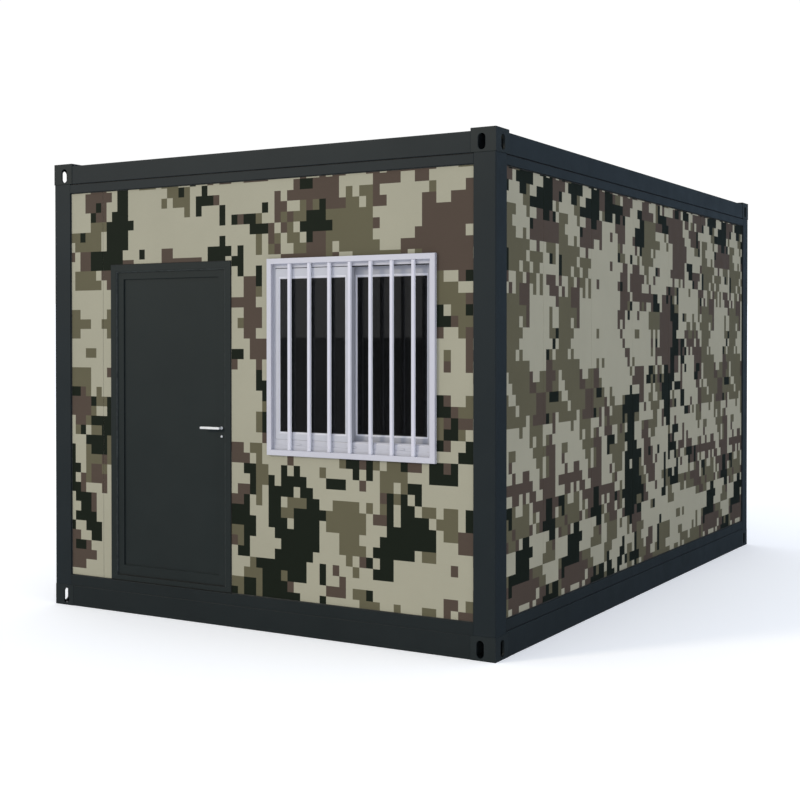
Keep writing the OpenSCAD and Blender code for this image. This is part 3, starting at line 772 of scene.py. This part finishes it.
xe, ye = kh[0], sh[1]
for y_out, sgn in ((y_front, -1), (kh[1], 1)):
    ya, yb = sorted((y_out + sgn * b_d, y_out - sgn * 0.0005))
    bead((-xe + b_w, ya, z_end1 - b_w), (xe - b_w, yb, z_end1))
    if sgn == 1:
        bead((-xe + b_w, ya, z_end0), (xe - b_w, yb, z_end0 + b_w))
    for s in (-1, 1):
        xa, xb = sorted((s * xe, s * (xe - b_w)))
        bead((xa, ya, z_end0), (xb, yb, z_end1))
cl, ch = box("door_casing")
ya, yb = y_front - b_d, y_front + 0.0005
bead((-xe + b_w, ya, z_end0), (cl[0] - 0.0038, yb, z_end0 + b_w))
bead((ch[0] + 0.0038, ya, z_end0), (xe - b_w, yb, z_end0 + b_w))
for s in (-1, 1):
    xa, xb = sorted((s * (sh[0] + b_d), s * (sh[0] - 0.0005)))
    for z in (sl[2], sh[2] - b_w):
        bead((xa, -ye + b_w, z), (xb, ye - b_w, z + b_w))
    for t in (-1, 1):
        a, b = sorted((t * ye, t * (ye - b_w)))
        bead((xa, a, sl[2]), (xb, b, sh[2]))
piece(bm, "wall_sealant", [M["sealant"]])

# =====================================================================================
# Roof, ceiling and floor
# =====================================================================================
lo, hi = box("roof_sheet")
notch_x, notch_y = 1.620 - 0.156 - 0.0003, 2.420 - 0.165 - 0.0003
t_sheet = 0.0012
z_pan, z_rib = lo[2] + 0.0002, hi[2] - t_sheet - 0.0002
ribs = 15
pitch = 2 * notch_x / ribs
line = [(-notch_x, z_pan)]
for j in range(ribs):
    c = -notch_x + (j + 0.5) * pitch
    for dx, z in ((-0.036, z_pan), (-0.020, z_rib), (0.020, z_rib), (0.036, z_pan)):
        line.append((c + dx, z))
line.append((notch_x, z_pan))
bm = bmesh.new()
ys = np.linspace(lo[1], hi[1], 7)
loop = [(x, z + t_sheet) for x, z in line] + [(x, z) for x, z in reversed(line)]
cols = [[bm.verts.new((x, float(y), z)) for x, z in loop] for y in ys]
for A, Bc in zip(cols, cols[1:]):
    for j in range(len(loop)):
        k = (j + 1) % len(loop)
        bm.faces.new((A[j], A[k], Bc[k], Bc[j]))
half = len(line)
for col in (cols[0], cols[-1]):
    for j in range(half - 1):
        bm.faces.new((col[j], col[j + 1], col[2 * half - 2 - j], col[2 * half - 1 - j]))
for s in (-1, 1):
    xa, xb = sorted((s * (notch_x + 0.0004), s * hi[0]))
    add_box(bm, (xa, -notch_y, z_pan), (xb, notch_y, z_pan + 0.014), 0.0015, 2)
piece(bm, "roof_ribbed_sheet", [M["roof"]], nodes=["roof_sheet"], sharp=20.0)

bm = bmesh.new()
for j in range(ribs + 1):
    x = -notch_x + j * pitch
    if abs(x) > notch_x - 0.02:
        continue
    for i in range(-2, 3):
        y = i * 0.860
        disc_stack(bm, (x, y, z_pan + t_sheet), (0, 0, 1), [(0.0001, 0.0085), (0.0016, 0.0085), (0.0022, 0.0072)], 16)
        disc_stack(bm, (x, y, z_pan + t_sheet + 0.0023), (0, 0, 1), [(0.0, 0.0052), (0.0042, 0.0052), (0.0050, 0.0044)], 6)
piece(bm, "roof_screws", [M["galv"]])

bm = bmesh.new()
lo, hi = box("ceiling_panel")
n_strip = 5
step = (hi[1] - lo[1]) / n_strip
for j in range(n_strip):
    add_box(bm, (lo[0], lo[1] + j * step + 0.0002, lo[2]), (hi[0], lo[1] + (j + 1) * step - 0.0002, hi[2]), 0.0025, 2)
piece(bm, "ceiling_sheets", [M["ceiling"]], nodes=["ceiling_panel"])


def channels(bm, node, count, pitch_y, wide, flange=0.012, t=0.003):
    """Lipped steel channels spanning the cabin in the place of the CAD bars."""
    lo, hi = box(node)
    for j in range(count):
        yc = (j - (count - 1) / 2) * pitch_y
        y0, y1 = yc - wide / 2, yc + wide / 2
        z0, z1 = lo[2], hi[2]
        sec = [(y0, z0), (y1, z0), (y1, z0 + flange), (y1 - t, z0 + flange), (y1 - t, z0 + t), (y0 + t, z0 + t),
               (y0 + t, z1 - t), (y1 - t, z1 - t), (y1 - t, z1 - flange), (y1, z1 - flange), (y1, z1), (y0, z1)]
        a = [bm.verts.new((lo[0], y, z)) for y, z in sec]
        b = [bm.verts.new((hi[0], y, z)) for y, z in sec]
        for i in range(len(sec)):
            k = (i + 1) % len(sec)
            bm.faces.new((a[i], a[k], b[k], b[i]))
        bm.faces.new(a)
        bm.faces.new(b)


bm = bmesh.new()
channels(bm, "roof_purlins", 5, 0.860, 0.050)
piece(bm, "roof_channels", [M["galv"]], nodes=["roof_purlins"], smooth=False)
bm = bmesh.new()
channels(bm, "floor_joists", 9, 0.540, 0.040)
piece(bm, "floor_channels", [M["galv"]], nodes=["floor_joists"], smooth=False)

lo, hi = box("floor_boards")
x_in, y_in = 1.620 - 0.088 - 0.0005, 2.420 - 0.088 - 0.0005
x_post, y_post = 1.620 - 0.138 - 0.0005, 2.420 - 0.138 - 0.0005
bm = bmesh.new()
rng = np.random.RandomState(52)
tone_of = []
n_plank = 20
pw = 2 * x_post / n_plank
made = []


def plank(x0, x1, y0, y1):
    before = len(bm.faces)
    add_box(bm, (x0 + 0.0003, y0 + 0.0003, lo[2]), (x1 - 0.0003, y1 - 0.0003, hi[2]), 0.0012, 1)
    tone_of.extend([float(rng.rand())] * (len(bm.faces) - before))


for j in range(n_plank):
    x0 = -x_post + j * pw
    cuts = [-y_in, -y_in + 0.55 + 1.2 * float(rng.rand())]
    while cuts[-1] + 1.8 < y_in:
        cuts.append(cuts[-1] + 1.55 + 0.2 * float(rng.rand()))
    cuts.append(y_in)
    for a, b in zip(cuts, cuts[1:]):
        plank(x0, x0 + pw, a, b)
for s in (-1, 1):
    a, b = sorted((s * (x_post + 0.0003), s * x_in))
    for y0, y1 in ((-y_post, -0.72), (-0.72, 0.81), (0.81, y_post)):
        plank(a, b, y0, y1)
ob = piece(bm, "floor_planks", [M["planks"]], nodes=["floor_boards"], smooth=False)
attr = ob.data.attributes.new("tone", "FLOAT", "FACE")
attr.data.foreach_set("value", np.array(tone_of, np.float32))

# =====================================================================================
# Door: frame, casing, leaf, gasket, lock and lever
# =====================================================================================
fl, fh = box("door_frame")
th_top = box("door_leaf")[0][2] - 0.005
jamb_y0, jamb_y1 = fl[1], fh[1]


def flat_profile(y0, y1, r, w, inner_r=None):
    """Closed (t, y) loop of a bar w wide with its two front edges rounded by r."""
    q = [0.0, 0.29, 0.62, 1.0]
    out = [(0.0, y1)]
    for a in q:
        ang = a * math.pi / 2
        out.append(((r - r * math.cos(ang)) / w, y0 + r - r * math.sin(ang)))
    ri = r if inner_r is None else inner_r
    for a in reversed(q):
        ang = a * math.pi / 2
        out.append((1 - (ri - ri * math.cos(ang)) / w, y0 + ri - ri * math.sin(ang)))
    out.append((1.0, y1))
    return out


bm = bmesh.new()
sweep_frame(bm, cl[0], ch[0], th_top + 0.0003, ch[2], (0.042, 0.042, 0.042, 0), flat_profile(cl[1], ch[1], 0.0022, 0.042), open_bottom=True)
add_box(bm, (cl[0], cl[1], cl[2] + 0.0052), (ch[0], ch[1], th_top), 0.0012, 2)
piece(bm, "door_casing_painted", [M["door"]], nodes=["door_casing"])

bm = bmesh.new()
sweep_frame(bm, fl[0], fh[0], th_top + 0.0003, fh[2], (0.020, 0.018, 0.020, 0),
            [(t, y) for t, y in flat_profile(jamb_y0, jamb_y1, 0.001, 0.02)], open_bottom=True)
add_box(bm, (fl[0], jamb_y0, fl[2]), (fh[0], -2.420 + 0.088, th_top), 0.0016, 2)
for k in range(4):   # grip ribs on the threshold
    y = jamb_y0 + 0.020 + k * 0.013
    add_box(bm, (fl[0] + 0.022, y, th_top - 0.0004), (fh[0] - 0.020, y + 0.004, th_top + 0.0014), 0.0006, 1, mat=1)
piece(bm, "door_frame_painted", [M["door"], M["galv"]], nodes=["door_frame"])

# rubber seal in the corner between casing and leaf, its lip sloping from one to the other; its rubber is lighter than
# the door paint, painted light that softens the shade line at the casing's edge
ll, lh = box("door_leaf")
bm = bmesh.new()
g0, g1 = ch[1], ll[1] - 0.0009
gw = 0.013
prof = [(0.0, g0 - 0.0001), (0.0, g1 - 0.0016), (0.10, g1 - 0.0004), (0.30, g1), (0.90, g1), (0.98, g1 - 0.0006), (1.0, g1 - 0.0014),
        (0.93, g1 - 0.0040), (0.82, g0 + 0.0006), (0.72, g0 - 0.0018), (0.62, cl[1] + 0.0016), (0.46, cl[1] + 0.0010), (0.38, cl[1] + 0.0018), (0.38, g0 - 0.0001)]
sweep_frame(bm, cl[0] + 0.042 - 0.38 * gw + 0.0002, ch[0] - 0.042 + 0.38 * gw - 0.0002, th_top + 0.0003, ch[2] - 0.042 + 0.38 * gw - 0.0002,
            (gw, gw, gw, 0), prof, open_bottom=True)
piece(bm, "door_gasket", [M["door_seal_lightened"]])

# drip seal under the leaf and a thin joint of sealant round the casing: the drip seal and the strip at the casing's
# foot are near black, painted shadow lines, and the sealant round the casing is a real joint in black rubber, wide
# enough to stand for the casing's shadow line too
bm = bmesh.new()
add_box(bm, (cl[0] + 0.0424, ll[1] - 0.0030, th_top + 0.0002), (ch[0] - 0.0424, ll[1] + 0.0220, th_top + 0.0048), 0.0010, 2, mat=1)
add_box(bm, (cl[0] + 0.0002, cl[1] + 0.0030, cl[2] + 0.0001), (ch[0] - 0.0002, ch[1] - 0.0002, cl[2] + 0.0050), 0.0008, 1, mat=1)
yb = y_front
for lo_, hi_ in (((cl[0] - 0.0034, yb - 0.0030, cl[2]), (cl[0] - 0.0002, yb - 0.0001, ch[2] + 0.0034)),
                 ((ch[0] + 0.0002, yb - 0.0030, cl[2]), (ch[0] + 0.0034, yb - 0.0001, ch[2] + 0.0034)),
                 ((cl[0] + 0.0001, yb - 0.0030, ch[2] + 0.0002), (ch[0] - 0.0001, yb - 0.0001, ch[2] + 0.0034))):
    add_box(bm, lo_, hi_, 0.0011, 2)
piece(bm, "door_drip_and_sealant_shadow_lines", [M["seal"], M["shadow_black"]])

bm = round_edges(cad_bmesh("door_leaf"), 0.0016, 2, 40.0)
piece(bm, "door_leaf_painted", [M["door"]], body="door", nodes=["door_leaf"])

# slim steel face plates of the lock, on the leaf's edge and on the jamb
bm = bmesh.new()
zl = 1.180
ym = (ll[1] + lh[1]) / 2
add_box(bm, (lh[0] - 0.0006, ym - 0.010, zl - 0.110), (lh[0] + 0.0010, ym + 0.010, zl + 0.110), 0.0006, 1)
for z in (zl - 0.098, zl + 0.098):
    disc_stack(bm, (lh[0] + 0.0010, ym, z), (1, 0, 0), [(-0.0002, 0.0040), (0.0005, 0.0038), (0.0010, 0.0024)], 16)
piece(bm, "lock_face_plate", [M["hinge"]], body="door")
bm = bmesh.new()
x_j = fh[0] - 0.018
add_box(bm, (x_j - 0.0010, ym - 0.012, zl - 0.080), (x_j + 0.0006, ym + 0.012, zl - 0.034), 0.0006, 1)
add_box(bm, (x_j - 0.0010, ym - 0.012, zl + 0.034), (x_j + 0.0006, ym + 0.012, zl + 0.080), 0.0006, 1)
add_box(bm, (x_j - 0.0010, ym - 0.012, zl - 0.0338), (x_j + 0.0006, ym - 0.007, zl + 0.0338), 0.0004, 1)
add_box(bm, (x_j - 0.0010, ym + 0.007, zl - 0.0338), (x_j + 0.0006, ym + 0.012, zl + 0.0338), 0.0004, 1)
piece(bm, "strike_plate", [M["hinge"]])

bm = round_edges(cad_bmesh("door_hinge_pins"), 0.0008, 2, 50.0)
piece(bm, "hinge_pins_steel", [M["hinge"]], nodes=["door_hinge_pins"])
bm = round_edges(cad_bmesh("door_hinge_knuckles"), 0.0008, 2, 50.0)
piece(bm, "hinge_knuckles_steel", [M["hinge"]], body="door", nodes=["door_hinge_knuckles"])

bm = round_edges(cad_bmesh("door_roses"), 0.0020, 3, 50.0)
rl_, rh_ = box("door_roses")
key_x, key_z = (rl_[0] + rh_[0]) / 2, rl_[2] + 0.0075
for y, sgn in ((ll[1] - 0.006, -1), (lh[1] + 0.006, 1)):
    # euro cylinder: round plug over a narrower web, with a keyway drawn as a near-black strip, painted shadow for the
    # slot
    disc_stack(bm, (key_x, y, key_z + 0.0016), (0, sgn, 0), [(-0.0004, 0.0050), (0.0014, 0.0050), (0.0019, 0.0044)], 28)
    add_box(bm, (key_x - 0.0028, min(y - 0.0003 * sgn, y + 0.0012 * sgn), key_z - 0.0062), (key_x + 0.0028, max(y - 0.0003 * sgn, y + 0.0012 * sgn), key_z - 0.0038), 0.0004, 1)
    add_box(bm, (key_x - 0.0006, min(y, y + 0.0021 * sgn), key_z - 0.0014), (key_x + 0.0006, max(y, y + 0.0021 * sgn), key_z + 0.0046), 0.0, 1, mat=1)
piece(bm, "door_roses_polished", [M["handle"], M["shadow_black"]], body="door", nodes=["door_roses"])

bm = round_edges(cad_bmesh("door_lever"), 0.0040, 4, 50.0)
piece(bm, "door_lever_polished", [M["handle"]], body="lever", nodes=["door_lever"], sharp=50.0)

# =====================================================================================
# Sliding window
# =====================================================================================
fl, fh = box("window_frame")
y0, y1 = fl[1], fh[1]
bm = bmesh.new()
J, HEAD, SILL = 0.027, 0.036, 0.070
prof = [(0.0, y1), (0.0, y0 + 0.0015), (0.05, y0 + 0.0003), (0.10, y0), (0.46, y0), (0.50, y0 + 0.0004), (0.53, y0 + 0.0030), (0.90, y0 + 0.0030), (0.96, y0 + 0.0036), (1.0, y0 + 0.0052), (1.0, y1 - 0.002), (0.93, y1)]
sweep_frame(bm, fl[0], fh[0], fl[2], fh[2], (J, J, HEAD, SILL), prof)
xs0, xs1 = fl[0] + J, fh[0] - J
zs0, zs1 = fl[2] + SILL, fh[2] - HEAD
a_lo, a_hi = box("window_sash_left")
b_lo, b_hi = box("window_sash_right")
# guide ribs in the two empty runs of the track; the front top rib of the right run is near black, a painted shadow line
# under the head
for (xa, xb, yc) in ((a_hi[0] + 0.002, xs1 - 0.001, (a_lo[1] + a_hi[1]) / 2), (xs0 + 0.001, b_lo[0] - 0.002, (b_lo[1] + b_hi[1]) / 2)):
    for dy in (-0.012, 0.012):
        add_box(bm, (xa, yc + dy - 0.0016, zs0 - 0.0006), (xb, yc + dy + 0.0016, zs0 + 0.0065), 0.0009, 2)
        add_box(bm, (xa, yc + dy - 0.0016, zs1 - 0.0065), (xb, yc + dy + 0.0016, zs1 + 0.0006), 0.0009, 2,
                mat=1 if dy < 0 and xb > xs1 - 0.01 else 0)
# drain slot covers on the sill's face
for xc in (fl[0] + 0.20, (fl[0] + fh[0]) / 2 + 0.03, fh[0] - 0.20):
    add_box(bm, (xc - 0.016, y0 - 0.0012, fl[2] + 0.040), (xc + 0.016, y0 + 0.0012, fl[2] + 0.048), 0.0011, 2)
piece(bm, "window_frame_plastic", [M["upvc"], M["shadow_black"]], nodes=["window_frame"])


def sash(name, node, left, right, top, bottom, bead=2):
    lo, hi = box(node)
    y0, y1 = lo[1], hi[1]
    bm = bmesh.new()
    bead_y = y0 + 0.0062
    prof = [(0.0, y1 - 0.001), (0.0, y0 + 0.0060), (0.042, y0 + 0.0060), (0.050, y0 + 0.0010), (0.085, y0), (0.74, y0), (0.78, y0 + 0.0010),
            (0.97, bead_y), (1.0, bead_y + 0.0012), (1.0, y1 - 0.009), (0.80, y1 - 0.004), (0.70, y1 - 0.003), (0.68, y1 - 0.001), (0.05, y1)]
    # the bead's slope takes the brighter white, a painted highlight
    mats = [0, 1, 0, 0, 0, 0, bead, bead, 0, 0, 0, 0, 0, 0]
    sweep_frame(bm, lo[0], hi[0], lo[2], hi[2], (left, right, top, bottom), prof, mats=mats)
    # black glazing gaskets in front of and behind the glass
    gx0, gx1, gz0, gz1 = lo[0] + left, hi[0] - right, lo[2] + bottom, hi[2] - top
    ga = bead_y - 0.0002
    for pr in ([(0.0, ga + 0.0010), (0.0, ga), (0.6, ga - 0.0002), (1.0, ga + 0.0008), (1.0, ga + 0.0016)],
               [(0.0, y1 - 0.0102), (1.0, y1 - 0.0104), (1.0, y1 - 0.0094), (0.0, y1 - 0.0084)]):
        sweep_frame(bm, gx0 - 0.0004, gx1 + 0.0004, gz0 - 0.0004, gz1 + 0.0004, (0.0050,) * 4, pr, mat=1)
    # the foot closes the groove along the track
    add_box(bm, (lo[0] + 0.0016, y0 + 0.0004, lo[2] + 0.0001), (hi[0] - 0.0016, y0 + 0.0064, lo[2] + bottom * 0.055), 0.0005, 1)
    return bm, (lo, hi)


STILE = 0.035      # the sash's outer stile
bm, (lo, hi) = sash("left", "window_sash_left", STILE, 0.044, 0.064, 0.046)
# brush seal between the two meeting stiles
add_box(bm, (b_lo[0] + 0.010, hi[1] + 0.0003, lo[2] + 0.01), (b_lo[0] + 0.016, b_lo[1] - 0.0006, hi[2] - 0.01), 0.0008, 1, mat=1)
piece(bm, "window_sash_left_plastic", [M["upvc_outer"], M["seal"], M["upvc_bead_highlight"]], nodes=["window_sash_left"])
# the right sash, deep in the inner track, takes the darker white as painted shade
bm, (lo, hi) = sash("right", "window_sash_right", 0.044, 0.038, 0.064, 0.046)
# crescent latch on the room side of the meeting stile
zc = (lo[2] + hi[2]) / 2 - 0.05
add_box(bm, (lo[0] + 0.008, hi[1] - 0.001, zc - 0.040), (lo[0] + 0.034, hi[1] + 0.009, zc + 0.040), 0.003, 3)
add_box(bm, (lo[0] + 0.014, hi[1] + 0.0085, zc - 0.010), (lo[0] + 0.028, hi[1] + 0.020, zc + 0.055), 0.004, 3)
piece(bm, "window_sash_right_plastic", [M["upvc_shaded"], M["seal"], M["upvc_bead_highlight"]], nodes=["window_sash_right"])

# sealed glazing units: two sheets on an aluminium spacer
frame_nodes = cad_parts["window_panes"].data
co = np.array([v.co for v in frame_nodes.vertices]).reshape(-1, 3)
mid = (a_hi[0] + b_lo[0]) / 2
bm = bmesh.new()
# the pane in the inner sash takes the darker glass, painted shade
for pane_glass_slot, pick in ((0, co[:, 1] < (a_hi[1] + b_lo[1]) / 2), (2, co[:, 1] > (a_hi[1] + b_lo[1]) / 2)):
    g_lo, g_hi = co[pick].min(0), co[pick].max(0)
    t_glass = 0.005
    add_box(bm, (g_lo[0], g_lo[1], g_lo[2]), (g_hi[0], g_lo[1] + t_glass, g_hi[2]), 0.0004, 1, mat=pane_glass_slot)
    add_box(bm, (g_lo[0], g_hi[1] - t_glass, g_lo[2]), (g_hi[0], g_hi[1], g_hi[2]), 0.0004, 1, mat=pane_glass_slot)
    ya, yb = float(g_lo[1]) + t_glass + 0.0002, float(g_hi[1]) - t_glass - 0.0002
    sweep_frame(bm, g_lo[0] + 0.0002, g_hi[0] - 0.0002, g_lo[2] + 0.0002, g_hi[2] - 0.0002, (0.0075,) * 4,
                [(0.0, ya), (0.9, ya), (1.0, ya + 0.0008), (1.0, yb - 0.0008), (0.9, yb), (0.0, yb)], mat=1)
piece(bm, "window_glazing", [M["glass"], M["galv"], M["glass_shaded"]], nodes=["window_panes"], smooth=False)

# =====================================================================================
# Bar guard in front of the window
# =====================================================================================
lo, hi = box("window_guard_frame")
S = 0.033
y0, y1 = lo[1], hi[1]
r = 0.0032
q = [0.0, 0.33, 0.67, 1.0]
prof = [(0.0, y1)]
prof += [((r - r * math.cos(a * math.pi / 2)) / S, y0 + r - r * math.sin(a * math.pi / 2)) for a in q]
prof += [(1 - (r - r * math.cos(a * math.pi / 2)) / S, y0 + r - r * math.sin(a * math.pi / 2)) for a in reversed(q)]
prof += [(1.0, y1 - r * 0.5), (1 - 0.5 * r / S, y1)]
bm = bmesh.new()
sweep_frame(bm, lo[0], hi[0], lo[2], hi[2], (S, S, S, S), prof)
piece(bm, "window_guard_frame_tube", [M["guard"]], nodes=["window_guard_frame"])
gl, gh = box("window_guard_bars")
bm = bmesh.new()
for j in range(7):
    xc = gl[0] + 0.0095 + j * 0.140
    add_box(bm, (xc - 0.0095, gl[1], gl[2] + 0.0001), (xc + 0.0095, gh[1], gh[2] - 0.0001), 0.0024, 3)
    # weld fillets where the bar meets the frame
    for z, s in ((gl[2], 1), (gh[2], -1)):
        for dx in (-1, 1):
            xa, xb = sorted((xc + dx * 0.0092, xc + dx * 0.0116))
            za, zb = sorted((z + s * 0.0001, z + s * 0.0026))
            add_box(bm, (xa, gl[1] + 0.003, za), (xb, gh[1] - 0.003, zb), 0.0011, 2)
# faces towards +X take the brighter white, a painted highlight standing for light on that side
bm.normal_update()
for f in bm.faces:
    if f.normal.x > 0.80:
        f.material_index = 1
piece(bm, "window_guard_bars_tube", [M["guard_bar"], M["guard_lit_side"]], nodes=["window_guard_bars"])
